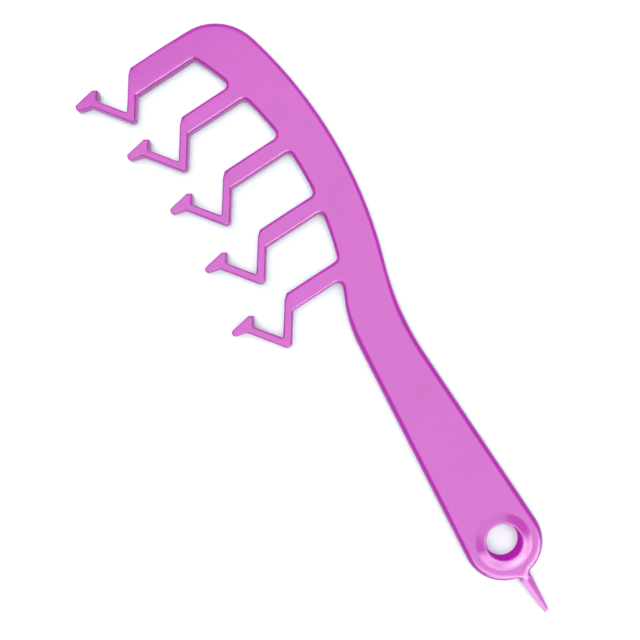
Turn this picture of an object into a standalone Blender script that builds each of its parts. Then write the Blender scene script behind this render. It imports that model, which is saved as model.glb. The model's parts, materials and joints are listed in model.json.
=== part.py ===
"""Zigzag parting comb: one flat plastic moulding, divided into its functional parts.

The plan is drawn in millimetres with its zero at the centre of the handle's round end. +X runs
along the grip to the head, +Y points to the tooth side, and the comb lies on its back on z = 0.
An empty carries all the parts and moves the zero to the bottom centre of the whole comb.
"""
import math

import bmesh
import bpy
from mathutils import Vector

MM = 0.001

# Overall
NAME = "wide_tooth_comb"
BODY_THICKNESS = 4.0
JOINT_GAP = 0.3

# Hanging eye: a collar around the through hole, proud of the front face
EYE_CENTRE = (0.3, 0.0)
BORE_RADIUS = 5.1
COLLAR_RISE = 0.9
RIM_ROUNDING = 0.4
RIM_FLAT = 0.2
COLLAR_SLOPE = 2.6

# Handle, symmetrical about the X axis. Its round end is a wall around the eye
END_WALL = 3.4
NECK_X = 64.0
NECK_HALF_WIDTH = 7.9
HANDLE_EDGE_RADIUS = 1.6
NECK_CUT_X = 80.0

# Spine: the back and the tooth side are two arcs, each set by its lowest point and its radius,
# and blended into the handle and the head
BACK_LOW = (125.8, -17.0)
BACK_RADIUS = 132.9
SPINE_WIDTH = 13.0
INNER_LOW_X = 123.4
INNER_RADIUS = 96.3
NECK_BACK_BLEND = 85.0
NECK_FRONT_BLEND = 40.0
HEAD_RADIUS = 15.9
SPINE_EDGE_RADIUS = 1.2

# Row of teeth: outer corners of the stems stand at an even pitch on an arc
TOOTH_COUNT = 5
TOOTH_PITCH = 20.0
ROW_START_X = 94.7
ROW_LOW_X = 124.1
ROW_RADIUS = 147.0
STEM_LENGTH = 19.1

# One tooth: stem, shank, foot and tip blade
STEM_LEAN = 2.8
STEM_WIDTH = 5.4
END_STEM_WIDTH = 7.9
SHOULDER_LENGTH = 2.1
SHOULDER_ANGLE = 135.0
SHANK_ANGLE = 147.5
SHANK_WIDTH = 2.75
SHANK_LENGTH = 11.0
HEEL_RADIUS = 1.5
INSTEP_RADIUS = 1.0
FOOT_ANGLE = 38.6
FOOT_WIDTH = 2.45
FOOT_LENGTH = 9.2
BLADE_HEEL_LENGTH = 3.2
BLADE_HEEL_END = 1.7
BLADE_HEEL_ANGLE = 62.0
BLADE_OUTER_ANGLE = 102.6
BLADE_INNER_ANGLE = 77.3
BLADE_LENGTH = 6.9
BLADE_TOE_WIDTH = 1.7
BLADE_TOE_ANGLE = 172.6
BLADE_TOE_RADIUS = 0.7
TOOTH_EDGE_RADIUS = 0.6

# Tail pick: a tapered spike with a ridge down the middle of both faces
PICK_LENGTH = 12.6
PICK_ROOT_WIDTH = 3.7
PICK_ROOT_HEIGHT = 3.2
PICK_TIP_WIDTH = 1.5
PICK_TIP_HEIGHT = 1.2
PICK_SIDE_SHARE = 0.65
PICK_ROOT_Y = -0.3
PICK_TIP_Y = -0.7

# Finish
PLASTIC_COLOUR = (0.323, 0.010, 0.292, 1.0)
PLASTIC_ROUGHNESS = 0.3

# Fineness of the curved outlines
FILLET_STEP_DEG = 15.0
END_STEP_DEG = 7.5
ROOT_STEP_DEG = 2.0
LONG_ARC_STEP = 4.0
BEVEL_SEGMENTS = 3
TURN_STEPS = 48
RIM_STEP_DEG = 30.0
WELD_DISTANCE = 0.00001
LEVEL_TOLERANCE = 0.000001
CAP_MIN_NORMAL = 0.9
CAP_MERGE_DEG = 0.5
SHARP_ANGLE_DEG = 35.0


# ---------------------------------------------------------------- plane geometry

def ray(point, angle):
    """A line through a point, as (x, y, direction x, direction y)."""
    direction = math.radians(angle)
    return (point[0], point[1], math.cos(direction), math.sin(direction))


def shifted(line, distance):
    """The same line, moved to its left."""
    x, y, dx, dy = line
    return (x - dy * distance, y + dx * distance, dx, dy)


def along(line, distance):
    """A point on a line, at a distance from the line's own point."""
    x, y, dx, dy = line
    return (x + dx * distance, y + dy * distance)


def meet(first, second):
    """Where two lines cross."""
    x1, y1, dx1, dy1 = first
    x2, y2, dx2, dy2 = second
    cross = dx1 * dy2 - dy1 * dx2
    travel = ((x2 - x1) * dy2 - (y2 - y1) * dx2) / cross
    return along(first, travel)


def meet_circle(line, centre, radius, side):
    """Where a line, followed in its direction, enters (-1) or leaves (+1) a circle."""
    x, y, dx, dy = line
    back = (x - centre[0]) * dx + (y - centre[1]) * dy
    offset = (x - centre[0]) ** 2 + (y - centre[1]) ** 2 - radius ** 2
    return along(line, -back + side * math.sqrt(back * back - offset))


def arc_points(centre, radius, start, end, step):
    """Points on an arc between two angles in degrees, both ends included."""
    count = max(1, math.ceil(abs(end - start) / step))
    points = []
    for index in range(count + 1):
        angle = math.radians(start + (end - start) * index / count)
        points.append((centre[0] + radius * math.cos(angle), centre[1] + radius * math.sin(angle)))
    return points


def bearing(centre, point):
    """Angle in degrees of a point seen from a centre."""
    return math.degrees(math.atan2(point[1] - centre[1], point[0] - centre[0]))


def filleted(corners):
    """Closed outline through (x, y, radius) corners, each corner rounded by its radius."""
    outline = []
    count = len(corners)
    for index, (x, y, radius) in enumerate(corners):
        corner = Vector((x, y))
        if radius == 0:
            outline.append((x, y))
            continue
        before = (Vector(corners[index - 1][:2]) - corner).normalized()
        after = (Vector(corners[(index + 1) % count][:2]) - corner).normalized()
        half = before.angle(after) / 2
        start = corner + before * (radius / math.tan(half))
        end = corner + after * (radius / math.tan(half))
        centre = corner + (before + after).normalized() * (radius / math.sin(half))
        first = bearing(centre, start)
        turn = (bearing(centre, end) - first + 180) % 360 - 180
        outline.extend(arc_points(centre, radius, first, first + turn, FILLET_STEP_DEG))
    return outline


# ---------------------------------------------------------------- layout shared by the parts

COLLAR_RIM_RADIUS = BORE_RADIUS + RIM_ROUNDING + RIM_FLAT
COLLAR_FOOT_RADIUS = COLLAR_RIM_RADIUS + COLLAR_SLOPE
END_RADIUS = COLLAR_FOOT_RADIUS + END_WALL

INNER_LOW_Y = BACK_LOW[1] + SPINE_WIDTH
BACK_CENTRE = (BACK_LOW[0], BACK_LOW[1] + BACK_RADIUS)
INNER_CENTRE = (INNER_LOW_X, INNER_LOW_Y + INNER_RADIUS)
ROW_CENTRE = (ROW_LOW_X, INNER_LOW_Y + STEM_LENGTH + ROW_RADIUS)

# The flank of the handle touches the end circle and passes the neck's half width
NECK_DISTANCE = math.hypot(NECK_X, NECK_HALF_WIDTH)
FLANK_NORMAL = math.degrees(math.atan2(NECK_HALF_WIDTH, NECK_X) + math.acos(END_RADIUS / NECK_DISTANCE))
FLANK_TOUCH = (END_RADIUS * math.cos(math.radians(FLANK_NORMAL)),
               END_RADIUS * math.sin(math.radians(FLANK_NORMAL)))
FRONT_FLANK = ray(FLANK_TOUCH, FLANK_NORMAL - 90)
BACK_FLANK = ray((FLANK_TOUCH[0], -FLANK_TOUCH[1]), 90 - FLANK_NORMAL)

# Blend centres: each blend touches the flank and the spine's arc
FRONT_BLEND_CENTRE = meet_circle(shifted(FRONT_FLANK, -NECK_FRONT_BLEND), INNER_CENTRE,
                                 INNER_RADIUS + NECK_FRONT_BLEND, -1)
BACK_BLEND_CENTRE = meet_circle(shifted(BACK_FLANK, -NECK_BACK_BLEND), BACK_CENTRE,
                                BACK_RADIUS + NECK_BACK_BLEND, -1)


def arc_height(centre, radius, x, side):
    """Height of a circle at x, on its upper (+1) or lower (-1) side."""
    return centre[1] + side * math.sqrt(radius ** 2 - (x - centre[0]) ** 2)


def row_corner(index):
    """Outer corner of a stem. Index 0 is the tooth at the head."""
    x = ROW_START_X + TOOTH_PITCH * (TOOTH_COUNT - 1 - index)
    return (x, arc_height(ROW_CENTRE, ROW_RADIUS, x, -1))


# The head's arc touches the outer edge of the first stem and the arc of the back
HEAD_EDGE = ray(row_corner(0), STEM_LEAN - 90)
HEAD_CENTRE = meet_circle(shifted(HEAD_EDGE, -HEAD_RADIUS), BACK_CENTRE, BACK_RADIUS - HEAD_RADIUS, 1)


def front_edge(x):
    """Tooth-side edge of the handle and spine at x."""
    touch_flank = FRONT_BLEND_CENTRE[0] + NECK_FRONT_BLEND * math.cos(math.radians(FLANK_NORMAL))
    share = NECK_FRONT_BLEND / (NECK_FRONT_BLEND + INNER_RADIUS)
    touch_arc = FRONT_BLEND_CENTRE[0] + share * (INNER_CENTRE[0] - FRONT_BLEND_CENTRE[0])
    if x < touch_flank:
        return FRONT_FLANK[1] + (x - FRONT_FLANK[0]) * FRONT_FLANK[3] / FRONT_FLANK[2]
    if x < touch_arc:
        return arc_height(FRONT_BLEND_CENTRE, NECK_FRONT_BLEND, x, 1)
    return arc_height(INNER_CENTRE, INNER_RADIUS, x, -1)


def back_edge(x):
    """Back edge of the handle and spine at x."""
    touch_flank = BACK_BLEND_CENTRE[0] - NECK_BACK_BLEND * math.cos(math.radians(FLANK_NORMAL))
    share = NECK_BACK_BLEND / (NECK_BACK_BLEND + BACK_RADIUS)
    touch_arc = BACK_BLEND_CENTRE[0] + share * (BACK_CENTRE[0] - BACK_BLEND_CENTRE[0])
    if x < touch_flank:
        return BACK_FLANK[1] + (x - BACK_FLANK[0]) * BACK_FLANK[3] / BACK_FLANK[2]
    if x < touch_arc:
        return arc_height(BACK_BLEND_CENTRE, NECK_BACK_BLEND, x, 1)
    return arc_height(BACK_CENTRE, BACK_RADIUS, x, -1)


def stations(start, end):
    """Evenly spaced x values between two ends, both included."""
    count = max(1, math.ceil(abs(end - start) / LONG_ARC_STEP))
    return [start + (end - start) * index / count for index in range(count + 1)]


# ---------------------------------------------------------------- outlines of the parts

def handle_outline():
    """Round end, two flanks and the start of the neck, up to the neck cut."""
    cut = NECK_CUT_X - JOINT_GAP / 2
    outline = arc_points((0, 0), END_RADIUS, FLANK_NORMAL, 360 - FLANK_NORMAL, END_STEP_DEG)
    xs = stations(FLANK_TOUCH[0], cut)
    outline.extend((x, back_edge(x)) for x in xs[1:])
    outline.extend((x, front_edge(x)) for x in reversed(xs[1:]))
    return outline


def spine_outline():
    """Curved back from the neck cut to the head."""
    cut = NECK_CUT_X + JOINT_GAP / 2
    blend_angle = bearing(BACK_CENTRE, HEAD_CENTRE)
    blend_x = BACK_CENTRE[0] + BACK_RADIUS * math.cos(math.radians(blend_angle))
    outline = [(x, back_edge(x)) for x in stations(cut, blend_x)]
    outline.extend(arc_points(HEAD_CENTRE, HEAD_RADIUS, blend_angle, STEM_LEAN, END_STEP_DEG)[1:])
    head_corner = meet_circle(HEAD_EDGE, INNER_CENTRE, INNER_RADIUS, 1)
    outline.extend((x, front_edge(x)) for x in stations(head_corner[0], cut))
    return outline


def tooth_outline(index):
    """Z-shaped tooth, drawn about the outer corner of its stem."""
    corner = row_corner(index)
    width = END_STEM_WIDTH if index == 0 else STEM_WIDTH
    stem_outer = ray((0, 0), STEM_LEAN - 90)
    stem_inner = shifted(stem_outer, -width)
    shoulder = ray((0, 0), SHOULDER_ANGLE)
    shank_outer = ray(along(shoulder, SHOULDER_LENGTH), SHANK_ANGLE)
    shank_inner = shifted(shank_outer, SHANK_WIDTH)
    notch = along(shank_outer, SHANK_LENGTH)
    foot_outer = ray(notch, FOOT_ANGLE)
    foot_inner = shifted(foot_outer, FOOT_WIDTH)
    foot_end = along(foot_outer, FOOT_LENGTH)
    heel_inner = along(ray(foot_end, SHANK_ANGLE - 180), BLADE_HEEL_LENGTH)
    heel_outer = along(ray(heel_inner, BLADE_HEEL_ANGLE), BLADE_HEEL_END)
    toe_outer = along(ray(heel_outer, BLADE_OUTER_ANGLE), BLADE_LENGTH)
    toe_inner = along(ray(toe_outer, BLADE_TOE_ANGLE), BLADE_TOE_WIDTH)
    blade_inner = ray(toe_inner, BLADE_INNER_ANGLE)
    corners = [
        (*meet(stem_inner, shank_inner), 0.0),
        (*meet(shank_inner, foot_inner), HEEL_RADIUS),
        (*meet(foot_inner, blade_inner), INSTEP_RADIUS),
        (*toe_inner, BLADE_TOE_RADIUS),
        (*toe_outer, BLADE_TOE_RADIUS),
        (*heel_outer, 0.0),
        (*heel_inner, 0.0),
        (*foot_end, 0.0),
        (*notch, 0.0),
        (*along(shoulder, SHOULDER_LENGTH), 0.0),
        (0.0, 0.0, 0.0),
    ]
    # The root follows the spine's arc, seen from this tooth's corner
    arc_centre = (INNER_CENTRE[0] - corner[0], INNER_CENTRE[1] - corner[1])
    arc_radius = INNER_RADIUS - JOINT_GAP
    start = bearing(arc_centre, meet_circle(stem_outer, arc_centre, arc_radius, 1))
    end = bearing(arc_centre, meet_circle(stem_inner, arc_centre, arc_radius, 1))
    root = arc_points(arc_centre, arc_radius, start, end, ROOT_STEP_DEG)
    corners.extend((x, y, 0.0) for x, y in root)
    return filleted(corners)


# ---------------------------------------------------------------- Blender helpers

def clear_scene():
    for obj in list(bpy.data.objects):
        bpy.data.objects.remove(obj, do_unlink=True)


def plastic(name):
    """Opaque moulded plastic."""
    material = bpy.data.materials.new(name)
    material.use_nodes = True
    shader = material.node_tree.nodes["Principled BSDF"]
    shader.inputs["Base Color"].default_value = PLASTIC_COLOUR
    shader.inputs["Roughness"].default_value = PLASTIC_ROUGHNESS
    shader.inputs["Metallic"].default_value = 0.0
    return material


def finish_part(name, mesh, place=(0, 0), height=0.0):
    """Object for a mesh, with its material, in the comb's collection and frame."""
    obj = bpy.data.objects.new(name, mesh)
    obj.location = (place[0] * MM, place[1] * MM, height * MM)
    obj.parent = comb_frame
    mesh.materials.append(plastic(name + "_plastic"))
    collection.objects.link(obj)
    return obj


def slab(name, outlines, edge_radius, place=(0, 0), hole_x=None):
    """Flat plate with its outer rims rounded, from its outline and the outline of a hole about hole_x."""
    curve = bpy.data.curves.new(name + "_outline", "CURVE")
    curve.dimensions = "2D"
    curve.fill_mode = "BOTH"
    curve.extrude = BODY_THICKNESS / 2 * MM
    for outline in outlines:
        spline = curve.splines.new("POLY")
        spline.points.add(len(outline) - 1)
        for point, (x, y) in zip(spline.points, outline):
            point.co = (x * MM, y * MM, 0.0, 1.0)
        spline.use_cyclic_u = True
    drawing = bpy.data.objects.new(name + "_drawing", curve)
    collection.objects.link(drawing)
    depsgraph = bpy.context.evaluated_depsgraph_get()
    mesh = bpy.data.meshes.new_from_object(drawing.evaluated_get(depsgraph))
    mesh.name = name
    bpy.data.objects.remove(drawing)
    weld_and_merge_caps(mesh, hole_x)
    obj = finish_part(name, mesh, place, BODY_THICKNESS / 2)
    weight_outer_rims(mesh, outlines[0])
    bevel = obj.modifiers.new("rounded_rims", "BEVEL")
    bevel.width = edge_radius * MM
    bevel.segments = BEVEL_SEGMENTS
    bevel.limit_method = "WEIGHT"
    bevel.use_clamp_overlap = False
    mesh.shade_smooth()
    mesh.set_sharp_from_angle(angle=math.radians(SHARP_ANGLE_DEG))
    return obj


def weld_and_merge_caps(mesh, hole_x):
    """Join a filled curve's loose caps to its walls. Each cap becomes one face, or two about a hole."""
    shape = bmesh.new()
    shape.from_mesh(mesh)
    bmesh.ops.remove_doubles(shape, verts=shape.verts, dist=WELD_DISTANCE)
    seam = []
    if hole_x is not None:
        geometry = shape.verts[:] + shape.edges[:] + shape.faces[:]
        cut = bmesh.ops.bisect_plane(shape, geom=geometry, plane_co=(hole_x * MM, 0, 0), plane_no=(1, 0, 0))
        seam = cut["geom_cut"]
    cap_edges = []
    for edge in shape.edges:
        on_cap = all(abs(face.normal.z) > CAP_MIN_NORMAL for face in edge.link_faces)
        if on_cap and edge not in seam:
            cap_edges.append(edge)
    bmesh.ops.dissolve_limit(shape, angle_limit=math.radians(CAP_MERGE_DEG), verts=[], edges=cap_edges)
    bmesh.ops.recalc_face_normals(shape, faces=shape.faces)
    shape.to_mesh(mesh)
    shape.free()


def weight_outer_rims(mesh, outline):
    """Mark the top and bottom rims of the outer outline for the bevel, and leave a hole's rims sharp."""
    outer = {(round(x, 3), round(y, 3)) for x, y in outline}
    weights = mesh.attributes.new("bevel_weight_edge", "FLOAT", "EDGE")
    for edge in mesh.edges:
        ends = [mesh.vertices[index].co for index in edge.vertices]
        level = abs(ends[0].z - ends[1].z) < LEVEL_TOLERANCE
        on_outer = all((round(end.x / MM, 3), round(end.y / MM, 3)) in outer for end in ends)
        weights.data[edge.index].value = 1.0 if level and on_outer else 0.0


# ---------------------------------------------------------------- the parts

def make_handle():
    socket = arc_points(EYE_CENTRE, COLLAR_FOOT_RADIUS + JOINT_GAP, 0, 360, 360 / TURN_STEPS)[:-1]
    return slab("handle", [handle_outline(), socket], HANDLE_EDGE_RADIUS, hole_x=EYE_CENTRE[0])


def make_spine():
    return slab("spine", [spine_outline()], SPINE_EDGE_RADIUS)


def make_tooth(index):
    name = "tooth_" + str(index + 1)
    return slab(name, [tooth_outline(index)], TOOTH_EDGE_RADIUS, row_corner(index))


def make_hanging_eye():
    """Turned collar: a plain bore, a rounded rim and a slope down to the handle's face."""
    top = BODY_THICKNESS + COLLAR_RISE
    centre = (BORE_RADIUS + RIM_ROUNDING, top - RIM_ROUNDING)
    profile = [(COLLAR_FOOT_RADIUS, BODY_THICKNESS), (COLLAR_FOOT_RADIUS, 0.0), (BORE_RADIUS, 0.0)]
    profile.extend(arc_points(centre, RIM_ROUNDING, 180, 90, RIM_STEP_DEG))
    profile.append((COLLAR_RIM_RADIUS, top))
    shape = bmesh.new()
    ring = [shape.verts.new((x * MM, 0.0, z * MM)) for x, z in profile]
    for index, vert in enumerate(ring):
        shape.edges.new((ring[index - 1], vert))
    mesh = bpy.data.meshes.new("hanging_eye")
    shape.to_mesh(mesh)
    shape.free()
    obj = finish_part("hanging_eye", mesh, EYE_CENTRE)
    screw = obj.modifiers.new("turned", "SCREW")
    screw.axis = "Z"
    screw.steps = TURN_STEPS
    screw.render_steps = TURN_STEPS
    screw.use_merge_vertices = True
    screw.merge_threshold = WELD_DISTANCE
    return obj


def make_tail_pick():
    """Loft between a six-sided root section and a smaller tip section."""
    root_x = -(END_RADIUS + JOINT_GAP)
    middle = BODY_THICKNESS / 2
    shape = bmesh.new()
    rings = []
    for x, y, width, height in (
        (root_x, PICK_ROOT_Y, PICK_ROOT_WIDTH, PICK_ROOT_HEIGHT),
        (root_x - PICK_LENGTH, PICK_TIP_Y, PICK_TIP_WIDTH, PICK_TIP_HEIGHT),
    ):
        side = height / 2 * PICK_SIDE_SHARE
        section = [(width / 2, side), (0, height / 2), (-width / 2, side),
                   (-width / 2, -side), (0, -height / 2), (width / 2, -side)]
        rings.append([shape.verts.new((x * MM, (y + dy) * MM, (middle + dz) * MM)) for dy, dz in section])
    count = len(rings[0])
    for index in range(count):
        follow = (index + 1) % count
        shape.faces.new((rings[0][index], rings[0][follow], rings[1][follow], rings[1][index]))
    shape.faces.new(rings[0])
    shape.faces.new(list(reversed(rings[1])))
    bmesh.ops.recalc_face_normals(shape, faces=shape.faces)
    mesh = bpy.data.meshes.new("tail_pick")
    shape.to_mesh(mesh)
    shape.free()
    return finish_part("tail_pick", mesh)


def centre_on_floor(parts):
    """Move the frame so that its zero is the bottom centre of all the parts."""
    bpy.context.view_layer.update()
    depsgraph = bpy.context.evaluated_depsgraph_get()
    corners = []
    for part in parts:
        evaluated = part.evaluated_get(depsgraph)
        corners.extend(evaluated.matrix_world @ Vector(corner) for corner in evaluated.bound_box)
    low = Vector(min(corner[axis] for corner in corners) for axis in range(3))
    high = Vector(max(corner[axis] for corner in corners) for axis in range(3))
    comb_frame.location = (-(low.x + high.x) / 2, -(low.y + high.y) / 2, -low.z)
    bpy.context.view_layer.update()


clear_scene()
collection = bpy.data.collections.new(NAME)
bpy.context.scene.collection.children.link(collection)
comb_frame = bpy.data.objects.new("comb_frame", None)
collection.objects.link(comb_frame)

comb_parts = [make_spine(), make_handle()]
comb_parts.extend(make_tooth(index) for index in range(TOOTH_COUNT))
comb_parts.append(make_hanging_eye())
comb_parts.append(make_tail_pick())
centre_on_floor(comb_parts)
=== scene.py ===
# %% [markdown]
# # A zigzag parting comb, dressed on its CAD frame
#
# The comb is one injection moulding in one coloured plastic. The CAD frame gives it as nine plain
# solids with hairline gaps between them. This script builds the same nine pieces again as one
# continuous skin, with the soft rims, root fillets and rising collar that a polished mould leaves,
# and then gives them their plastic, a pale table and studio lights.

# %% Load the frame
import json
import math

import bpy
import numpy as np
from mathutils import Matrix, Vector
from mathutils.geometry import delaunay_2d_cdt

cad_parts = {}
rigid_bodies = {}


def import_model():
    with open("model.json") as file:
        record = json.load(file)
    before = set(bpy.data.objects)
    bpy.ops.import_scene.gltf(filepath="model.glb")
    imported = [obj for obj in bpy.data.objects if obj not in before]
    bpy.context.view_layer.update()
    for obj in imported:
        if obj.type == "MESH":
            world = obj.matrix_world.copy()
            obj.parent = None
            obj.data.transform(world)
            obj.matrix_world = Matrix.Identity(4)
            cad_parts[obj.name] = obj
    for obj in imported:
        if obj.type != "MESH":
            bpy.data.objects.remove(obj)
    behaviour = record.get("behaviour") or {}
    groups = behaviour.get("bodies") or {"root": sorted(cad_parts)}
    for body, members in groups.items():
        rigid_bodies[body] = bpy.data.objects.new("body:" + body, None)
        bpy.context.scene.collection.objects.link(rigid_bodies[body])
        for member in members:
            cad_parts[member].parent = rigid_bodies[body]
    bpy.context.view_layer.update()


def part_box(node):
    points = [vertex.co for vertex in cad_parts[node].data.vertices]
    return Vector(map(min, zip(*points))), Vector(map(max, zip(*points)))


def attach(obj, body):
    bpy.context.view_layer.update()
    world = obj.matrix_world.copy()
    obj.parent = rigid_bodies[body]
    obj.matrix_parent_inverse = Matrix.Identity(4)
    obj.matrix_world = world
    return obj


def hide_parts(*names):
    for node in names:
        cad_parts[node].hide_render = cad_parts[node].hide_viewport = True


for leftover in list(bpy.data.objects):
    bpy.data.objects.remove(leftover, do_unlink=True)
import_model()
MM = 0.001

# %% [markdown]
# ## Where the drawing sits
#
# A comb is easiest to draw flat, in millimetres, with the zero at the centre of the handle's round
# end and +X running along the grip. The hanging hole stands a hair further in than that centre, so
# the middle of the CAD eye tells where the drawing's zero lies in the frame.

# %% The drawing's zero in the frame
EYE_CENTRE = (0.3, 0.0)
eye_low, eye_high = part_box("hanging_eye")
eye_middle = (eye_low + eye_high) / 2
ZERO = Vector((eye_middle.x - EYE_CENTRE[0] * MM, eye_middle.y - EYE_CENTRE[1] * MM, 0.0))
THICKNESS = 4.0
MIDDLE = THICKNESS / 2
print("zero of the drawing in mm:", [round(value / MM, 2) for value in ZERO])

# %% [markdown]
# ## Lines and arcs
#
# Everything in the outline is a straight run or an arc that touches its neighbour, as on a
# toolmaker's drawing. A few small helpers find where such lines and circles meet, so that a blend
# is never placed by eye.


# %% Lines on the drawing
def ray(point, angle):
    """A line through a point, as (x, y, direction x, direction y)."""
    direction = math.radians(angle)
    return (point[0], point[1], math.cos(direction), math.sin(direction))


def shifted(line, distance):
    """The same line, moved to its left."""
    x, y, dx, dy = line
    return (x - dy * distance, y + dx * distance, dx, dy)


def along(line, distance):
    """A point on a line, at a distance from the line's own point."""
    return (line[0] + line[2] * distance, line[1] + line[3] * distance)


def meet(first, second):
    """Where two lines cross."""
    gap_x, gap_y = second[0] - first[0], second[1] - first[1]
    cross = first[2] * second[3] - first[3] * second[2]
    return along(first, (gap_x * second[3] - gap_y * second[2]) / cross)


# %% Circles on the drawing
WIDE_SPACING, HANDLE_SPACING = 1.2, 1.5
END_SPACING = 0.8
FILLET_SPACING, FLARE_SPACING = 0.3, 0.2


def meet_circle(line, centre, radius, side):
    """Where a line, followed in its direction, enters (-1) or leaves (+1) a circle."""
    back = (line[0] - centre[0]) * line[2] + (line[1] - centre[1]) * line[3]
    offset = (line[0] - centre[0]) ** 2 + (line[1] - centre[1]) ** 2 - radius**2
    return along(line, -back + side * math.sqrt(back * back - offset))


def on_circle(centre, radius, angle):
    """The point of a circle at an angle in degrees."""
    turn = math.radians(angle)
    return (centre[0] + radius * math.cos(turn), centre[1] + radius * math.sin(turn))


def bearing(centre, point):
    """Angle in degrees of a point seen from a centre."""
    return math.degrees(math.atan2(point[1] - centre[1], point[0] - centre[0]))


def arc(centre, radius, start, end, spacing):
    """Points on an arc between two angles, no further apart than the spacing."""
    count = max(1, math.ceil(math.radians(abs(end - start)) * radius / spacing))
    return [on_circle(centre, radius, start + (end - start) * k / count) for k in range(count + 1)]


# %% [markdown]
# ## Handle and spine
#
# The handle is a round end with two straight flanks that close in on the neck. The spine bows the
# other way: its back is one large arc, the tooth side a smaller one, and both are eased into the
# neck by blend arcs. The head closes them with a tight arc that runs straight into the first tooth.

# %% Sizes of the handle and the spine
END_RADIUS = 11.7
NECK_X, NECK_HALF_WIDTH = 64.0, 7.9
NECK_CUT_X = 80.0
BACK_CENTRE, BACK_RADIUS = (125.8, 115.9), 132.9
INNER_CENTRE, INNER_RADIUS = (123.4, 92.3), 96.3
NECK_BACK_BLEND, NECK_FRONT_BLEND = 85.0, 40.0
HEAD_RADIUS = 15.9
neck_distance = math.hypot(NECK_X, NECK_HALF_WIDTH)
FLANK_NORMAL = bearing((0, 0), (NECK_X, NECK_HALF_WIDTH))
FLANK_NORMAL += math.degrees(math.acos(END_RADIUS / neck_distance))
flank_touch = on_circle((0, 0), END_RADIUS, FLANK_NORMAL)
front_flank = ray(flank_touch, FLANK_NORMAL - 90)
back_flank = ray((flank_touch[0], -flank_touch[1]), 90 - FLANK_NORMAL)
print("the flanks close in at", round(90 - FLANK_NORMAL, 2), "degrees")

# %% Blends at the neck
front_blend = meet_circle(
    shifted(front_flank, -NECK_FRONT_BLEND), INNER_CENTRE, INNER_RADIUS + NECK_FRONT_BLEND, -1
)
back_blend = meet_circle(
    shifted(back_flank, -NECK_BACK_BLEND), BACK_CENTRE, BACK_RADIUS + NECK_BACK_BLEND, -1
)


def height_on(centre, radius, x, side):
    """Height of a circle at x, on its upper (+1) or lower (-1) half."""
    return centre[1] + side * math.sqrt(radius**2 - (x - centre[0]) ** 2)


def edge_height(x, flank, blend, blend_radius, spine_centre, spine_radius):
    """One edge of handle and spine at x: flank, then blend arc, then the spine's own arc."""
    flank_end = blend[0] - blend_radius * flank[3]
    share = blend_radius / (blend_radius + spine_radius)
    blend_end = blend[0] + share * (spine_centre[0] - blend[0])
    if x < flank_end:
        return flank[1] + (x - flank[0]) * flank[3] / flank[2]
    if x < blend_end:
        return height_on(blend, blend_radius, x, 1)
    return height_on(spine_centre, spine_radius, x, -1)


def front_edge(x):
    """Height of the tooth side at x, between the handle's end and the first root."""
    return edge_height(x, front_flank, front_blend, NECK_FRONT_BLEND, INNER_CENTRE, INNER_RADIUS)


def back_edge(x):
    """Height of the back at x, from the handle's end to the head."""
    return edge_height(x, back_flank, back_blend, NECK_BACK_BLEND, BACK_CENTRE, BACK_RADIUS)


def stations(start, end, spacing):
    """Evenly spaced x values between two ends, both included."""
    count = max(1, math.ceil(abs(end - start) / spacing))
    return [start + (end - start) * k / count for k in range(count + 1)]


print("neck width at the cut in mm:", round(front_edge(NECK_CUT_X) - back_edge(NECK_CUT_X), 2))

# %% [markdown]
# ## The row of teeth
#
# Five Z-shaped teeth stand 20 mm apart. The outer corners of their stems lie on one shallow arc.
# A tooth leaves the spine as a stem, bends sideways into a thin shank, turns back on itself as a
# foot, and ends in a small blade that is slid along the scalp. The first tooth has a wider stem,
# because it also closes the head.

# %% Sizes of the teeth
TOOTH_COUNT, TOOTH_PITCH = 5, 20.0
ROW_START_X, ROW_CENTRE_X = 94.7, 124.1
ROW_RADIUS, ROW_DEPTH = 147.0, 15.1
STEM_LEAN = 2.8
STEM_WIDTH, END_STEM_WIDTH = 5.4, 7.9
SHOULDER_LENGTH, SHOULDER_ANGLE = 2.1, 135.0
SHANK_ANGLE, SHANK_WIDTH, SHANK_LENGTH = 147.5, 2.75, 11.0
FOOT_ANGLE, FOOT_WIDTH, FOOT_LENGTH = 38.6, 2.45, 9.2
BLADE_HEEL_LENGTH = 3.2
BLADE_HEEL_END, BLADE_HEEL_ANGLE = 1.7, 62.0
BLADE_OUTER_ANGLE, BLADE_INNER_ANGLE = 102.6, 77.3
BLADE_LENGTH = 6.9
BLADE_TOE_WIDTH, BLADE_TOE_ANGLE = 1.7, 172.6
ROOT_FILLET = 1.6
PARTING_CLEARANCE = 1.0
CORNER_RADIUS = {
    "stem_outer": 0.4,
    "shoulder": 2.5,
    "notch": 0.3,
    "foot_end": 0.4,
    "heel_inner": 0.35,
    "heel_outer": 0.5,
    "toe": 0.75,
    "instep": 0.9,
    "elbow": 1.5,
    "stem_inner": 0.5,
}


def stem_corner(index):
    """Outer corner of a stem. Index 0 is the tooth at the head."""
    x = ROW_START_X + TOOTH_PITCH * (TOOTH_COUNT - 1 - index)
    return (x, ROW_DEPTH + ROW_RADIUS - math.sqrt(ROW_RADIUS**2 - (x - ROW_CENTRE_X) ** 2))


def stem_sides(index):
    """Outer and inner side of a stem, as lines that run down to the spine."""
    outer = ray(stem_corner(index), STEM_LEAN - 90)
    return outer, shifted(outer, -(END_STEM_WIDTH if index == 0 else STEM_WIDTH))


head_side, _ = stem_sides(0)
HEAD_CENTRE = meet_circle(
    shifted(head_side, -HEAD_RADIUS), BACK_CENTRE, BACK_RADIUS - HEAD_RADIUS, 1
)
print("stem corners in mm:", [tuple(round(v, 1) for v in stem_corner(k)) for k in range(TOOTH_COUNT)])

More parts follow.
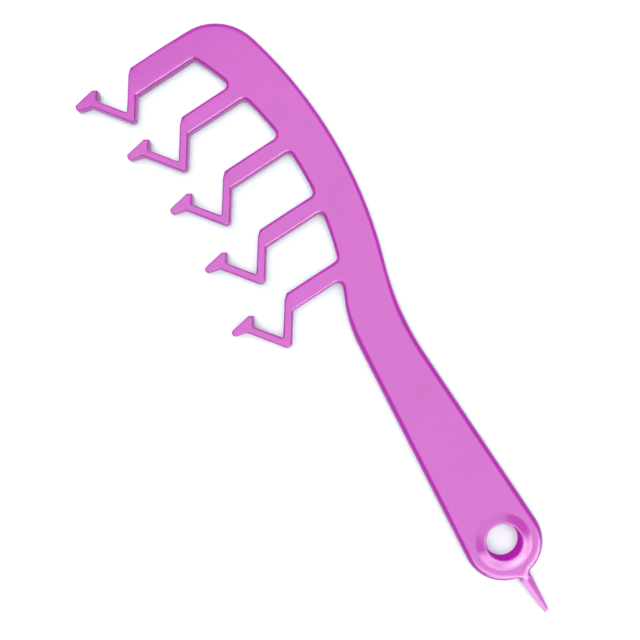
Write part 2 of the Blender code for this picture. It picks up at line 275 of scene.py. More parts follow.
# %% [markdown]
# ## One closed outline
#
# The outline is walked once around the comb with the plastic always on the left. Each stop is
# (x, y, corner radius, zone): the radius softens the corner as the mould does, and the zone says
# how the rim is rounded from there on. The grip is rounded generously because a hand holds it. The
# stems, shanks and blades keep a narrow rounding and a taller upright land, which steers the hair.

# %% Zones of the rim
# zone: (width of the rounding, half height of the upright land, spacing of the mesh), all in mm
ZONES = {
    "grip": (2.0, 0.2, 2.0),
    "back": (1.5, 0.5, 2.0),
    "inner": (1.2, 0.7, 1.2),
    "stem": (0.9, 0.9, 0.9),
    "bar": (0.55, 0.8, 0.6),
    "blade": (0.5, 0.7, 0.5),
    "pick": (1.2, 0.3, 0.8),
}


def stops(points, zone):
    """Points of a smooth run, which need no corner radius."""
    return [(x, y, 0.0, zone) for x, y in points]


# %% Outline of one tooth
def tooth_stops(index, base):
    """Stops around one tooth, from its outer side to its inner side, at a base height."""
    corner = stem_corner(index)
    stem_outer, stem_inner = stem_sides(index)
    shoulder_end = along(ray(corner, SHOULDER_ANGLE), SHOULDER_LENGTH)
    shank_outer = ray(shoulder_end, SHANK_ANGLE)
    shank_inner = shifted(shank_outer, SHANK_WIDTH)
    notch = along(shank_outer, SHANK_LENGTH)
    foot_outer = ray(notch, FOOT_ANGLE)
    foot_inner = shifted(foot_outer, FOOT_WIDTH)
    foot_end = along(foot_outer, FOOT_LENGTH)
    heel_inner = along(ray(foot_end, SHANK_ANGLE - 180), BLADE_HEEL_LENGTH)
    heel_outer = along(ray(heel_inner, BLADE_HEEL_ANGLE), BLADE_HEEL_END)
    toe_outer = along(ray(heel_outer, BLADE_OUTER_ANGLE), BLADE_LENGTH)
    toe_inner = along(ray(toe_outer, BLADE_TOE_ANGLE), BLADE_TOE_WIDTH)
    instep = meet(foot_inner, ray(toe_inner, BLADE_INNER_ANGLE))
    return [
        (*along(stem_outer, base), 0.0, "stem"),
        (*corner, CORNER_RADIUS["stem_outer"], "stem"),
        (*shoulder_end, CORNER_RADIUS["shoulder"], "bar"),
        (*notch, CORNER_RADIUS["notch"], "bar"),
        (*foot_end, CORNER_RADIUS["foot_end"], "blade"),
        (*heel_inner, CORNER_RADIUS["heel_inner"], "blade"),
        (*heel_outer, CORNER_RADIUS["heel_outer"], "blade"),
        (*toe_outer, CORNER_RADIUS["toe"], "blade"),
        (*toe_inner, CORNER_RADIUS["toe"], "blade"),
        (*instep, CORNER_RADIUS["instep"], "bar"),
        (*meet(shank_inner, foot_inner), CORNER_RADIUS["elbow"], "bar"),
        (*meet(stem_inner, shank_inner), CORNER_RADIUS["stem_inner"], "stem"),
        (*along(stem_inner, base), 0.0, "stem"),
    ]


# %% Fillets where a stem meets the spine
def root_fillet(side_line, side):
    """Arc that touches a stem's side and the spine. side is +1 for the outer side, -1 for the inner.

    Returns its points from the stem to the spine, and the angle of its touch on the spine's arc.
    """
    radius = ROOT_FILLET
    centre = meet_circle(shifted(side_line, side * radius), INNER_CENTRE, INNER_RADIUS - radius, 1)
    touch = bearing(INNER_CENTRE, centre)
    start = STEM_LEAN if side < 0 else STEM_LEAN - 180
    return arc(centre, radius, start, touch, FILLET_SPACING), touch


def cut_height(index):
    """Distance below a stem's corner at which the tooth is parted from the spine."""
    outer, inner = stem_sides(index)
    outer_touch = on_circle(HEAD_CENTRE, HEAD_RADIUS, STEM_LEAN)
    if index > 0:
        outer_touch = root_fillet(outer, 1)[0][0]
    inner_touch = root_fillet(inner, -1)[0][0]
    straight = min(math.dist(outer[:2], outer_touch), math.dist(inner[:2], inner_touch))
    return straight - PARTING_CLEARANCE


for k in range(TOOTH_COUNT):
    print("tooth", k + 1, "is parted", round(cut_height(k), 2), "mm below its corner")

# %% [markdown]
# ## The tail pick's outline
#
# Beyond the round end stands a short spike for lifting and parting strands. It leans a little off
# the handle's axis, tapers to a blunt tip, and grows out of the end through two small flares.

# %% Sizes of the tail pick
PICK_ROOT, PICK_TIP = (-12.0, -0.3), (-24.6, -0.7)
PICK_ROOT_WIDTH, PICK_TIP_WIDTH = 3.7, 1.5
PICK_FLARE, PICK_TIP_RADIUS = 1.0, 0.3
PICK_CUT_X = -13.4


def pick_side(side):
    """Side of the pick as a line from root to tip, and its end: tooth side (+1) or back side (-1)."""
    root = (PICK_ROOT[0], PICK_ROOT[1] + side * PICK_ROOT_WIDTH / 2)
    tip = (PICK_TIP[0], PICK_TIP[1] + side * PICK_TIP_WIDTH / 2)
    return ray(root, bearing(root, tip)), tip


def flare(side):
    """Arc from the round end to the pick's side, and the angle of its touch on the round end."""
    line, tip = pick_side(side)
    centre = meet_circle(shifted(line, -side * PICK_FLARE), (0, 0), END_RADIUS + PICK_FLARE, 1)
    last = bearing(line[:2], tip) + side * 90
    points = arc(centre, PICK_FLARE, bearing(centre, (0, 0)), last, FLARE_SPACING)
    return points, bearing((0, 0), centre)


def pick_stops():
    """Stops around the pick, from its tooth side over the tip to its back side."""
    front_line, front_tip = pick_side(1)
    back_line, back_tip = pick_side(-1)
    travel = PICK_ROOT[0] - PICK_CUT_X
    return [
        (*along(front_line, -travel / front_line[2]), 0.0, "pick"),
        (*front_tip, PICK_TIP_RADIUS, "pick"),
        (*back_tip, PICK_TIP_RADIUS, "pick"),
        (*along(back_line, -travel / back_line[2]), 0.0, "pick"),
    ]


print("pick length in mm:", round(math.dist(PICK_ROOT, PICK_TIP), 2))

# %% Walk once around the comb
def whole_walk():
    """All the stops of the outline, from the neck's back edge round to where it started."""
    head_start = bearing(BACK_CENTRE, HEAD_CENTRE)
    head_x = on_circle(BACK_CENTRE, BACK_RADIUS, head_start)[0]
    walk = stops([(x, back_edge(x)) for x in stations(NECK_CUT_X, head_x, WIDE_SPACING)], "back")
    walk += stops(arc(HEAD_CENTRE, HEAD_RADIUS, head_start, STEM_LEAN, END_SPACING)[1:], "back")
    touch = 0.0
    for index in range(TOOTH_COUNT):
        outer, inner = stem_sides(index)
        if index > 0:
            fillet, next_touch = root_fillet(outer, 1)
            window = arc(INNER_CENTRE, INNER_RADIUS, touch, next_touch, WIDE_SPACING)
            walk += stops(window[1:-1] + fillet[::-1], "inner")
        walk += tooth_stops(index, cut_height(index))
        fillet, touch = root_fillet(inner, -1)
        walk += stops(fillet, "inner")
    neck_start = on_circle(INNER_CENTRE, INNER_RADIUS, touch)[0]
    xs = stations(neck_start, NECK_CUT_X, WIDE_SPACING)[1:]
    return walk + stops([(x, front_edge(x)) for x in xs], "inner") + grip_walk()


def grip_walk():
    """Stops of the handle: tooth side, round end with the pick, and back side."""
    xs = stations(NECK_CUT_X, flank_touch[0], HANDLE_SPACING)[1:]
    front_flare, front_touch = flare(1)
    back_flare, back_touch = flare(-1)
    front_end = arc((0, 0), END_RADIUS, FLANK_NORMAL, front_touch, END_SPACING)[1:-1]
    back_end = arc((0, 0), END_RADIUS, back_touch, -FLANK_NORMAL, END_SPACING)[1:-1]
    walk = stops([(x, front_edge(x)) for x in xs] + front_end, "grip")
    walk += stops(front_flare, "pick") + pick_stops()
    walk += stops(back_flare[::-1] + back_end, "grip")
    return walk + stops([(x, back_edge(x)) for x in reversed(xs)], "grip")


comb_walk = whole_walk()
print("stops around the comb:", len(comb_walk))

# %% Round the corners and space the points
CORNER_STEPS = 4
CORNER_SPACING_LOW, CORNER_SPACING_HIGH = 0.1, 0.4


def rounded(walk):
    """The walk as (x, y, zone) points, with every corner turned into an arc of its radius."""
    points = []
    for k, (x, y, radius, zone) in enumerate(walk):
        if radius == 0:
            points.append((x, y, zone))
            continue
        corner = Vector((x, y))
        before = (Vector(walk[k - 1][:2]) - corner).normalized()
        after = (Vector(walk[(k + 1) % len(walk)][:2]) - corner).normalized()
        half = before.angle(after) / 2
        centre = corner + (before + after).normalized() * (radius / math.sin(half))
        first = bearing(centre, corner + before * (radius / math.tan(half)))
        last = bearing(centre, corner + after * (radius / math.tan(half)))
        turn = (last - first + 180) % 360 - 180
        spacing = min(CORNER_SPACING_HIGH, max(CORNER_SPACING_LOW, radius / CORNER_STEPS))
        points += [(*point, zone) for point in arc(centre, radius, first, first + turn, spacing)]
    return points


def spaced(points):
    """The same outline with long runs divided to the spacing of their zone."""
    dense = []
    for k, (x, y, zone) in enumerate(points):
        next_x, next_y, _ = points[(k + 1) % len(points)]
        count = max(1, math.ceil(math.dist((x, y), (next_x, next_y)) / ZONES[zone][2]))
        for step in range(count):
            share = step / count
            dense.append((x + (next_x - x) * share, y + (next_y - y) * share, zone))
    return dense


comb_points = spaced(rounded(comb_walk))
OUTLINE = np.array([point[:2] for point in comb_points])
print("points around the comb:", len(OUTLINE))

# %% Rim shape along the outline
EASING_PASSES = 5


def eased(values, passes):
    """Values around a closed outline, averaged with their neighbours."""
    for _ in range(passes):
        values = (np.roll(values, 1, axis=0) + values + np.roll(values, -1, axis=0)) / 3
    return values


RIM = eased(np.array([ZONES[zone][:2] for _, _, zone in comb_points]), EASING_PASSES)
RIM_WIDTH = RIM[:, 0]
print("rim widths in mm:", round(RIM_WIDTH.min(), 2), "to", round(RIM_WIDTH.max(), 2))

# %% [markdown]
# ## Height of the skin
#
# A moulding like this is flat in the middle and rounded towards its parting line, the seam where
# the two mould halves met halfway up the edge. So its height needs only one thing: how far a point
# is from the outline. Near the edge the height follows a quarter of an ellipse that ends in a thin
# upright land, and further in it stays at half the thickness. The pick has a low ridge instead.

# %% Distance to the outline
POINTS_AT_ONCE = 400


def nearest_edge(points):
    """For each point: its distance to the outline, and the width and the land of the rim there."""
    start, follow = OUTLINE, np.roll(RIM, -1, axis=0)
    run = np.roll(OUTLINE, -1, axis=0) - start
    run_squared = (run**2).sum(1)
    distance, rim = [], []
    for block in np.array_split(points, max(1, len(points) // POINTS_AT_ONCE)):
        offset = block[:, None] - start
        share = np.clip((offset * run).sum(2) / run_squared, 0, 1)
        gap = np.linalg.norm(offset - share[..., None] * run, axis=2)
        best = gap.argmin(1)
        rows = np.arange(len(block))
        blend = share[rows, best][:, None]
        distance.append(gap[rows, best])
        rim.append(RIM[best] * (1 - blend) + follow[best] * blend)
    return np.concatenate(distance), np.concatenate(rim)


def smooth_step(value):
    """Ease from 0 to 1 with level ends."""
    value = np.clip(value, 0, 1)
    return value * value * (3 - 2 * value)


# %% Height above the middle plane
PICK_ROOT_HALF, PICK_TIP_HALF = 1.6, 0.6
PICK_SIDE_SHARE = 0.55
PICK_BLEND_START, PICK_BLEND_LENGTH = -END_RADIUS + 0.7, 2.0
ON_EDGE = 0.001


def half_height(points):
    """Half the thickness of the comb at each point."""
    distance, rim = nearest_edge(points)
    width, land = rim.T
    distance = np.where(distance < ON_EDGE, 0.0, distance)
    inward = 1 - np.clip(distance / width, 0, 1)
    body = land + (MIDDLE - land) * np.sqrt(1 - inward**2)
    travel = np.clip((PICK_ROOT[0] - points[:, 0]) / (PICK_ROOT[0] - PICK_TIP[0]), 0, 1)
    pick_half_width = (PICK_ROOT_WIDTH + (PICK_TIP_WIDTH - PICK_ROOT_WIDTH) * travel) / 2
    ridge = PICK_ROOT_HALF + (PICK_TIP_HALF - PICK_ROOT_HALF) * travel
    roof = np.clip(distance / pick_half_width, 0, 1)
    pick = ridge * (PICK_SIDE_SHARE + (1 - PICK_SIDE_SHARE) * roof)
    change = smooth_step((PICK_BLEND_START - points[:, 0]) / PICK_BLEND_LENGTH)
    return body * (1 - change) + pick * change


print("half thickness at the neck in mm:", half_height(np.array([[NECK_CUT_X, 0.0]]))[0])

# %% [markdown]
# ## Rows of points along the rim
#
# The rounding needs mesh lines that run along the edge, close together where it curves most. Each
# outline point is moved inward step by step, and one last guard row marks where the flat face
# begins. A step is dropped where it would come nearer to another part of the edge, which is what
# happens inside a tight corner or in a thin shank.

# %% Inward rows
ROW_COUNT = 8
GUARD = 1.15
NEAR_SHARE, NEAR_MARGIN = 0.995, 0.003
row_shares = [1 - math.cos(math.radians(90 * k / ROW_COUNT)) for k in range(1, ROW_COUNT + 1)]
row_shares.append(GUARD)


def inward_directions():
    """Unit direction into the plastic at each outline point, and the stretch that a corner needs."""
    run = np.roll(OUTLINE, -1, axis=0) - OUTLINE
    run /= np.linalg.norm(run, axis=1)[:, None]
    normal = np.stack([-run[:, 1], run[:, 0]], axis=1)
    both = normal + np.roll(normal, 1, axis=0)
    both /= np.linalg.norm(both, axis=1)[:, None]
    return both, 1 / (both * normal).sum(1)


inward, stretch = inward_directions()
row_points, row_kept = [], []
for share in row_shares:
    depth = RIM_WIDTH * share
    moved = OUTLINE + inward * (depth * stretch)[:, None]
    row_points.append(moved)
    row_kept.append(nearest_edge(moved)[0] >= NEAR_SHARE * depth - NEAR_MARGIN)
print("kept in each row:", [int(kept.sum()) for kept in row_kept])

# %% Points and lines for the triangulation
TIGHT, LINK = 0.07, 0.35
mesh_points = [tuple(point) for point in OUTLINE]
mesh_lines = [(k, (k + 1) % len(OUTLINE)) for k in range(len(OUTLINE))]
columns = [[k] for k in range(len(OUTLINE))]
for moved, kept in zip(row_points, row_kept):
    last = None
    for k in np.flatnonzero(kept):
        if last is not None and math.dist(moved[k], moved[last]) < TIGHT:
            continue
        mesh_points.append(tuple(moved[k]))
        columns[k].append(len(mesh_points) - 1)
        if last is not None and (k - last == 1 or math.dist(moved[k], moved[last]) < LINK):
            mesh_lines.append((len(mesh_points) - 2, len(mesh_points) - 1))
        last = k
print("points:", len(mesh_points), "lines:", len(mesh_lines))

# %% [markdown]
# ## Where the pieces part
#
# The real comb is one piece of plastic, so the named pieces meet without any gap. Each is parted
# from its neighbour along one chain of points that both of them share: five across the stems, one
# across the neck, one across the pick and a ring around the eye.

# %% Chains across the comb
def outline_index(point):
    """Number of the outline point at a place."""
    return int(np.linalg.norm(OUTLINE - np.array(point), axis=1).argmin())


def chain_across(start, end, middle=()):
    """Chain from one outline point to another, through their inward rows and any points between."""
    between = []
    for point in middle:
        mesh_points.append(point)
        between.append(len(mesh_points) - 1)
    chain = columns[start] + between + columns[end][::-1]
    mesh_lines.extend(zip(chain, chain[1:]))
    return chain


def region(start, end, chain):
    """Closed region: the outline from start to end, and back along the chain."""
    count = (end - start) % len(OUTLINE) + 1
    walk = [(start + k) % len(OUTLINE) for k in range(count)]
    return walk + chain[::-1][1:-1]


# %% Regions of teeth, handle and pick
regions = {}
neck_start = outline_index((NECK_CUT_X, front_edge(NECK_CUT_X)))
neck_end = outline_index((NECK_CUT_X, back_edge(NECK_CUT_X)))
regions["handle"] = region(neck_start, neck_end, chain_across(neck_start, neck_end))
pick_start, pick_end = (outline_index(pick_stops()[k][:2]) for k in (0, -1))
pick_middle = tuple((OUTLINE[pick_start] + OUTLINE[pick_end]) / 2)
pick_chain = chain_across(pick_start, pick_end, [pick_middle])
regions["tail_pick"] = region(pick_start, pick_end, pick_chain)
for index in range(TOOTH_COUNT):
    outer, inner = stem_sides(index)
    start = outline_index(along(outer, cut_height(index)))
    end = outline_index(along(inner, cut_height(index)))
    regions["tooth_" + str(index + 1)] = region(start, end, chain_across(start, end))
print("regions:", {name: len(walk) for name, walk in regions.items()})

# %% Ridge of the pick and ring around the eye
EYE_SEAT = 8.6
EYE_STEPS = 96
RIDGE_STEPS = 20


def add_line(points, closed=False):
    """Add a line of points to the triangulation. Returns their numbers."""
    first = len(mesh_points)
    mesh_points.extend(points)
    numbers = list(range(first, len(mesh_points)))
    mesh_lines.extend(zip(numbers, numbers[1:]))
    if closed:
        mesh_lines.append((numbers[-1], numbers[0]))
    return numbers


ridge_end = (PICK_TIP[0] + PICK_TIP_WIDTH / 2, PICK_TIP[1])
ridge = []
for k in range(1, RIDGE_STEPS + 1):
    share = k / RIDGE_STEPS
    ridge.append(tuple(a + (b - a) * share for a, b in zip(pick_middle, ridge_end)))
ridge_numbers = add_line(ridge)
mesh_lines.append((mesh_points.index(pick_middle), ridge_numbers[0]))
seat = [on_circle(EYE_CENTRE, EYE_SEAT, 360 * k / EYE_STEPS) for k in range(EYE_STEPS)]
regions["hanging_eye"] = add_line(seat, closed=True)
print("points with ridge and seat:", len(mesh_points))

# %% [markdown]
# ## One plan of triangles
#
# All the points and lines are triangulated together, so neighbouring pieces share their points and
# no seam can open between them. The triangulator keeps every line that it is given. Triangles with
# hardly any area, between points that lie on one straight run, are left out. Each of the others
# belongs to the piece whose region holds its centre, and what no region claims is the spine.

# %% Triangulate the whole plan
SLIVER_AREA = 1e-5
MERGE_DISTANCE = 0.0001


def inside(points, polygon):
    """Which points lie inside a closed polygon, by counting the sides to their right."""
    start, end = polygon, np.roll(polygon, -1, axis=0)
    rise = end[:, 1] - start[:, 1]
    rise = np.where(rise == 0, 1.0, rise)
    found = []
    for block in np.array_split(points, max(1, len(points) // POINTS_AT_ONCE)):
        y = block[:, 1, None]
        crosses = (start[:, 1] > y) != (end[:, 1] > y)
        x = start[:, 0] + (y - start[:, 1]) * (end[:, 0] - start[:, 0]) / rise
        found.append((crosses & (x > block[:, 0, None])).sum(1) % 2 == 1)
    return np.concatenate(found)


plan_points, _, plan_faces, *_ = delaunay_2d_cdt(
    [Vector(point) for point in mesh_points], mesh_lines, [], 0, MERGE_DISTANCE
)
plan_points = np.array(plan_points)
plan_faces = np.array(plan_faces)
first, second, third = plan_points[plan_faces].transpose(1, 0, 2)
across, up = second - first, third - first
area = np.abs(across[:, 0] * up[:, 1] - across[:, 1] * up[:, 0]) / 2
plan_faces = plan_faces[area > SLIVER_AREA]
centres = plan_points[plan_faces].mean(1)
owner = np.where(inside(centres, OUTLINE), "spine", "").astype(object)
shape_points = np.array(mesh_points)
for name, walk in regions.items():
    owner[(owner != "") & inside(centres, shape_points[walk])] = name
print({name: int((owner == name).sum()) for name in sorted(set(owner))})

# %% [markdown]
# ## From plan to solid pieces
#
# Each piece takes its own triangles of the plan. They are lifted to the front skin and mirrored to
# the back skin, and every edge that only one triangle uses gets a short upright wall. On the rim
# that wall is the land at the parting line, and at a shared chain it closes the piece.


# %% Lift a region into a closed mesh
HEIGHT = half_height(plan_points)


def piece_object(name, points, faces, sharp_angle):
    """Object from points in drawing millimetres, smooth except at edges sharper than the angle."""
    mesh = bpy.data.meshes.new(name)
    placed = [Vector(point) * MM + ZERO for point in points]
    mesh.from_pydata(placed, [], faces)
    mesh.validate()
    mesh.shade_smooth()
    mesh.set_sharp_from_angle(angle=math.radians(sharp_angle))
    piece = bpy.data.objects.new(name + "_moulding", mesh)
    bpy.context.scene.collection.objects.link(piece)
    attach(piece, "root")
    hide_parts(name)
    return piece


def rim_edges(faces):
    """Directed edges that only one face uses."""
    directed = np.concatenate([faces[:, [0, 1]], faces[:, [1, 2]], faces[:, [2, 0]]])
    known = {tuple(edge) for edge in directed.tolist()}
    return [(a, b) for a, b in known if (b, a) not in known]


def moulded_piece(name, sharp_angle):
    """Closed piece from the triangles of its region."""
    faces = plan_faces[owner == name]
    used, faces = np.unique(faces, return_inverse=True)
    faces = faces.reshape(-1, 3)
    plan, half = plan_points[used], HEIGHT[used]
    count = len(used)
    front = [(x, y, MIDDLE + h) for (x, y), h in zip(plan, half)]
    back = [(x, y, MIDDLE - h) for (x, y), h in zip(plan, half)]
    walls = [(a + count, b + count, b, a) for a, b in sorted(rim_edges(faces))]
    skins = faces.tolist() + (faces[:, ::-1] + count).tolist()
    return piece_object(name, front + back, skins + walls, sharp_angle)


# %% Make spine, handle, teeth and pick
SHARP_ANGLE, PICK_SHARP_ANGLE = 55, 38
comb_pieces = [moulded_piece("spine", SHARP_ANGLE), moulded_piece("handle", SHARP_ANGLE)]
for index in range(TOOTH_COUNT):
    comb_pieces.append(moulded_piece("tooth_" + str(index + 1), SHARP_ANGLE))
comb_pieces.append(moulded_piece("tail_pick", PICK_SHARP_ANGLE))
for piece in comb_pieces:
    print(piece.name, "faces:", len(piece.data.polygons))

# %% [markdown]
# ## The hanging eye
#
# A nail or a hook wears on the hole, so the mould thickens the rim around it: the front face rises
# in a soft slope to a rounded lip. A turned shape is the natural way to make it, one half section
# swept once around the hole. Its outer ring meets the handle's flat face point for point. The
# slope is nearly straight and only a little eased, because a cone picks up one even band of light
# where a curved slope would gather it into a hard crescent.

# %% Half section of the eye
BORE_RADIUS = 5.1
COLLAR_RISE = 0.9
LIP_RADIUS = 0.6
SLOPE_END = 8.4
SLOPE_STEPS, SLOPE_EASING = 14, 0.2
BACK_EDGE_RADIUS = 0.25
BACK_EDGE_SPACING, LIP_SPACING = 0.08, 0.1


def eye_section():
    """(radius, height) points from the seat's foot, through the bore and over the lip to the seat."""
    top = THICKNESS + COLLAR_RISE
    section = [(EYE_SEAT, 0.0)]
    back_centre = (BORE_RADIUS + BACK_EDGE_RADIUS, BACK_EDGE_RADIUS)
    section += arc(back_centre, BACK_EDGE_RADIUS, -90, -180, BACK_EDGE_SPACING)
    lip_centre = (BORE_RADIUS + LIP_RADIUS, top - LIP_RADIUS)
    section += arc(lip_centre, LIP_RADIUS, 180, 90, LIP_SPACING)
    for k in range(1, SLOPE_STEPS + 1):
        share = k / SLOPE_STEPS
        radius = lip_centre[0] + (SLOPE_END - lip_centre[0]) * share
        fall = (1 - SLOPE_EASING) * share + SLOPE_EASING * float(smooth_step(share))
        section.append((radius, top - COLLAR_RISE * fall))
    return section + [(EYE_SEAT, THICKNESS)]


def turned_piece(name, section, steps, sharp_angle):
    """Closed ring from a half section swept around the eye's centre."""
    points, faces = [], []
    size = len(section)
    for step in range(steps):
        for radius, height in section:
            points.append((*on_circle(EYE_CENTRE, radius, 360 * step / steps), height))
    for step in range(steps):
        here, ahead = step * size, (step + 1) % steps * size
        for k in range(size):
            follow = (k + 1) % size
            faces.append((here + k, here + follow, ahead + follow, ahead + k))
    return piece_object(name, points, faces, sharp_angle)


eye = turned_piece("hanging_eye", eye_section(), EYE_STEPS, SHARP_ANGLE)
comb_pieces.append(eye)
print("hanging eye faces:", len(eye.data.polygons))

# %% [markdown]
# ## The plastic
#
# Cheap salon combs are moulded in polypropylene: tough, slightly waxy, and coloured right through.
# A polished steel mould gives it a satin gloss, so it shows a soft veil of the light above it and
# crisp lines only along the rims. Up close three things keep it from looking like paint: the dye
# is a little uneven where the melt flowed, the gloss drifts over a few millimetres, and the
# surface has a very fine texture. One function makes both finishes. The skin is the polished one.
# The bore is matt, as the core pin that forms it is not polished, and its colour is painted a little
# brighter: painted light, standing in for light that soaks into the collar and comes out on its wall.

# %% Small helpers for materials
def from_hex(text):
    """Linear colour with alpha from an sRGB hex value."""
    channels = [int(text[k : k + 2], 16) / 255 for k in (1, 3, 5)]
    linear = [c / 12.92 if c <= 0.04045 else ((c + 0.055) / 1.055) ** 2.4 for c in channels]
    return (*linear, 1.0)


def add_node(tree, kind, settings=None, inputs=None):
    """Add a node, set its properties and its inputs. An input given as a socket is linked."""
    node = tree.nodes.new(kind)
    for name, value in (settings or {}).items():
        setattr(node, name, value)
    for name, value in (inputs or {}).items():
        if isinstance(value, bpy.types.NodeSocket):
            tree.links.new(value, node.inputs[name])
        else:
            node.inputs[name].default_value = value
    return node


def per_mm(size):
    """Texture scale that gives features of a size in millimetres."""
    return 1 / (size * MM)


# %% Moulded polypropylene
SKIN_DEEP, SKIN_CLEAR = "#96178F", "#A51D9E"
# The bore's two tones are the skin's magenta painted brighter: painted light for the glow scattered out
# through the wall of the hole.
BORE_PAINTED_LIGHT_DEEP, BORE_PAINTED_LIGHT_CLEAR = "#B214AB", "#B816B0"
SKIN_ROUGHNESS, BORE_ROUGHNESS = (0.17, 0.26), (0.7, 0.8)
SKIN_SPECULAR, BORE_SPECULAR = 0.7, 0.05
PLASTIC_IOR = 1.5
FLOW_SIZE, GLOSS_SIZE, GRAIN_SIZE = 9.0, 2.5, 0.45
GRAIN_STRENGTH, GRAIN_DEPTH = 0.25, 0.02


def moulded_polypropylene(name, deep, clear, roughness, specular):
    """Magenta polypropylene with faint flow marks, drifting gloss and fine grain."""
    material = bpy.data.materials.new("moulded_polypropylene_" + name)
    material.use_nodes = True
    tree = material.node_tree
    shader = tree.nodes["Principled BSDF"]
    place = add_node(tree, "ShaderNodeTexCoord").outputs["Object"]
    flow = add_node(
        tree, "ShaderNodeTexNoise", inputs={"Vector": place, "Scale": per_mm(FLOW_SIZE), "Detail": 3.0}
    )
    dye = add_node(
        tree,
        "ShaderNodeMix",
        {"data_type": "RGBA"},
        {"Factor": flow.outputs["Fac"], "A": from_hex(deep), "B": from_hex(clear)},
    )
    drift = add_node(
        tree, "ShaderNodeTexNoise", inputs={"Vector": place, "Scale": per_mm(GLOSS_SIZE), "Detail": 2.0}
    )
    gloss = add_node(
        tree,
        "ShaderNodeMapRange",
        inputs={"Value": drift.outputs["Fac"], "To Min": roughness[0], "To Max": roughness[1]},
    )
    grain = add_node(
        tree, "ShaderNodeTexNoise", inputs={"Vector": place, "Scale": per_mm(GRAIN_SIZE), "Detail": 2.0}
    )
    relief = add_node(
        tree,
        "ShaderNodeBump",
        inputs={
            "Height": grain.outputs["Fac"],
            "Strength": GRAIN_STRENGTH,
            "Distance": GRAIN_DEPTH * MM,
        },
    )
    tree.links.new(dye.outputs[2], shader.inputs["Base Color"])
    tree.links.new(gloss.outputs["Result"], shader.inputs["Roughness"])
    tree.links.new(relief.outputs["Normal"], shader.inputs["Normal"])
    shader.inputs["IOR"].default_value = PLASTIC_IOR
    shader.inputs["Specular IOR Level"].default_value = specular
    shader.inputs["Metallic"].default_value = 0.0
    return material


skin = moulded_polypropylene("skin", SKIN_DEEP, SKIN_CLEAR, SKIN_ROUGHNESS, SKIN_SPECULAR)
bore = moulded_polypropylene("bore", BORE_PAINTED_LIGHT_DEEP, BORE_PAINTED_LIGHT_CLEAR, BORE_ROUGHNESS, BORE_SPECULAR)
for piece in comb_pieces:
    piece.data.materials.append(skin)
eye.data.materials.append(bore)
# The bore wall's faces get the copy of the plastic whose brighter colour is painted light.
axis = Vector((*EYE_CENTRE, 0.0)) * MM + ZERO
for face in eye.data.polygons:
    if (face.center - axis).xy.length < (BORE_RADIUS + BACK_EDGE_RADIUS / 2) * MM:
        face.material_index = 1
print("faces of the bore:", sum(face.material_index for face in eye.data.polygons))

# %% [markdown]
# ## Table
#
# The comb lies on a plain pale table, matt so that it shows no lights of its own. The laminate is
# off-white with a trace of green, and only slightly cloudy. It lies a hair below the comb's back,
# so that the two surfaces never fight for the same place.

# %% Table
LAMINATE_DEEP, LAMINATE_CLEAR = "#DCE7E4", "#DEE9E6"
CLOUD_SIZE = 60.0
LAMINATE_ROUGHNESS, LAMINATE_SPECULAR = 0.9, 0.2


def matt_laminate():
    """Pale table laminate: cool off-white, matt, with a faint cloudiness."""
    material = bpy.data.materials.new("matt_laminate")
    material.use_nodes = True
    tree = material.node_tree
    shader = tree.nodes["Principled BSDF"]
    place = add_node(tree, "ShaderNodeTexCoord").outputs["Object"]
    cloud = add_node(tree, "ShaderNodeTexNoise", inputs={"Vector": place, "Scale": per_mm(CLOUD_SIZE)})
    tint = add_node(
        tree,
        "ShaderNodeMix",
        {"data_type": "RGBA"},
        {"Factor": cloud.outputs["Fac"], "A": from_hex(LAMINATE_DEEP), "B": from_hex(LAMINATE_CLEAR)},
    )
    tree.links.new(tint.outputs[2], shader.inputs["Base Color"])
    shader.inputs["Roughness"].default_value = LAMINATE_ROUGHNESS
    shader.inputs["Specular IOR Level"].default_value = LAMINATE_SPECULAR
    return material


TABLE_HALF = 1.5
TABLE_GAP = 0.05 * MM
corners = [(-1, -1), (1, -1), (1, 1), (-1, 1)]
table_mesh = bpy.data.meshes.new("table")
table_points = [(x * TABLE_HALF, y * TABLE_HALF, -TABLE_GAP) for x, y in corners]
table_mesh.from_pydata(table_points, [], [(0, 1, 2, 3)])
table_mesh.materials.append(matt_laminate())
table = bpy.data.objects.new("table", table_mesh)
bpy.context.scene.collection.objects.link(table)
print("table half width in m:", TABLE_HALF)

# %% [markdown]
# ## Camera
#
# The camera looks straight down from a hand's length above, so the outline is seen true and only
# the side walls that face the middle of the view show. It stands over the neck rather than over
# the zero of the drawing, and it is turned so that the comb runs from corner to corner.

# %% Camera
CLIP_START = 0.01
CAMERA_OVER = (82.99, 13.48)
CAMERA_TURN = -120.4
CAMERA_HEIGHT = 215.0
FIELD_WIDTH = 188.24
SENSOR_WIDTH = 36.0

camera_data = bpy.data.cameras.new("camera")
camera_data.sensor_width = SENSOR_WIDTH
camera_data.lens = SENSOR_WIDTH * CAMERA_HEIGHT / FIELD_WIDTH
camera_data.clip_start = CLIP_START
camera = bpy.data.objects.new("camera", camera_data)
camera_place = (CAMERA_OVER[0], CAMERA_OVER[1], MIDDLE + CAMERA_HEIGHT)
camera.location = Vector(camera_place) * MM + ZERO
camera.rotation_euler = (0.0, 0.0, math.radians(CAMERA_TURN))
bpy.context.scene.collection.objects.link(camera)
bpy.context.scene.camera = camera
print("lens in mm:", round(camera_data.lens, 2))

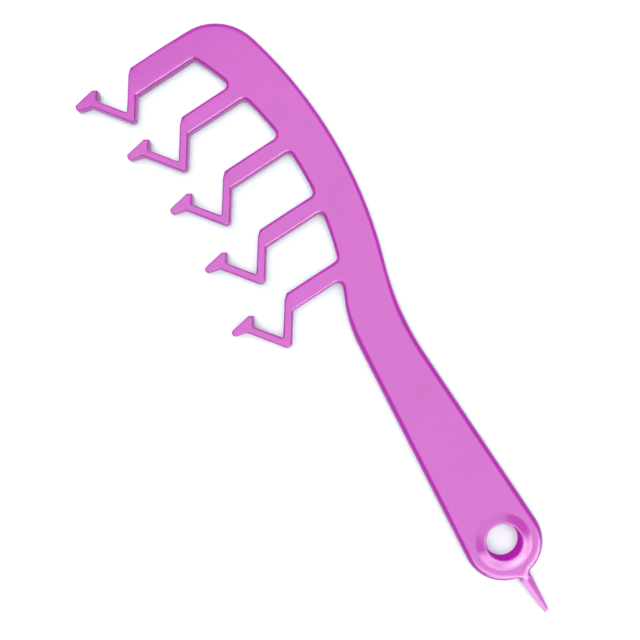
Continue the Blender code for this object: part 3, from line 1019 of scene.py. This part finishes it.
# %% [markdown]
# ## Lights
#
# A softbox right above lays a pale veil on all the flat faces, and a larger, dimmer scrim around it
# softens the step to dark on the collar and the rims. A side box and a fill on the opposite side
# light the walls. The fill casts no highlight, so the rims on its side stay deep in colour. Two
# strips do the reverse: they give highlights and no other light. The broad one makes the band on
# the collar's slope, and the low narrow one draws the thin bright lines along the stems and the
# handle's end.


# %% Lights
def add_softbox(name, turn, tilt, distance, size, radiance):
    """Rectangular light that faces the comb, turned from the view's right and tilted off vertical."""
    light = bpy.data.lights.new(name, "AREA")
    light.shape = "RECTANGLE"
    light.size, light.size_y = size
    light.energy = radiance * math.pi * size[0] * size[1]
    lamp = bpy.data.objects.new(name, light)
    azimuth, lean = math.radians(CAMERA_TURN + turn), math.radians(tilt)
    away = Vector(
        (math.sin(lean) * math.cos(azimuth), math.sin(lean) * math.sin(azimuth), math.cos(lean))
    )
    lamp.location = away * distance
    lamp.rotation_euler = away.to_track_quat("Z", "Y").to_euler()
    lamp.visible_camera = False
    bpy.context.scene.collection.objects.link(lamp)
    return lamp


add_softbox("overhead_softbox", turn=0, tilt=0, distance=1.2, size=(1.3, 1.3), radiance=2.2)
add_softbox("overhead_scrim", turn=0, tilt=0, distance=1.25, size=(2.7, 2.7), radiance=0.8)
add_softbox("side_softbox", turn=-45, tilt=68, distance=1, size=(1.2, 0.6), radiance=2.0)
fill = add_softbox("fill_softbox", turn=135, tilt=58, distance=1, size=(1.2, 0.6), radiance=2.4)
fill.visible_glossy = False
broad = add_softbox("collar_strip", turn=-64, tilt=44, distance=1, size=(1.5, 0.45), radiance=6.5)
narrow = add_softbox("rim_strip", turn=-60, tilt=68, distance=1, size=(1.3, 0.12), radiance=20.0)
for strip in (broad, narrow):
    strip.visible_diffuse = False

# %% Room light
ROOM_COLOUR, ROOM_STRENGTH = "#E9ECF2", 0.2
world = bpy.data.worlds.new("pale_room")
world.use_nodes = True
room = world.node_tree.nodes["Background"]
room.inputs["Color"].default_value = from_hex(ROOM_COLOUR)
room.inputs["Strength"].default_value = ROOM_STRENGTH
bpy.context.scene.world = world
bpy.context.scene.view_settings.view_transform = "Standard"
print("room strength:", room.inputs["Strength"].default_value)
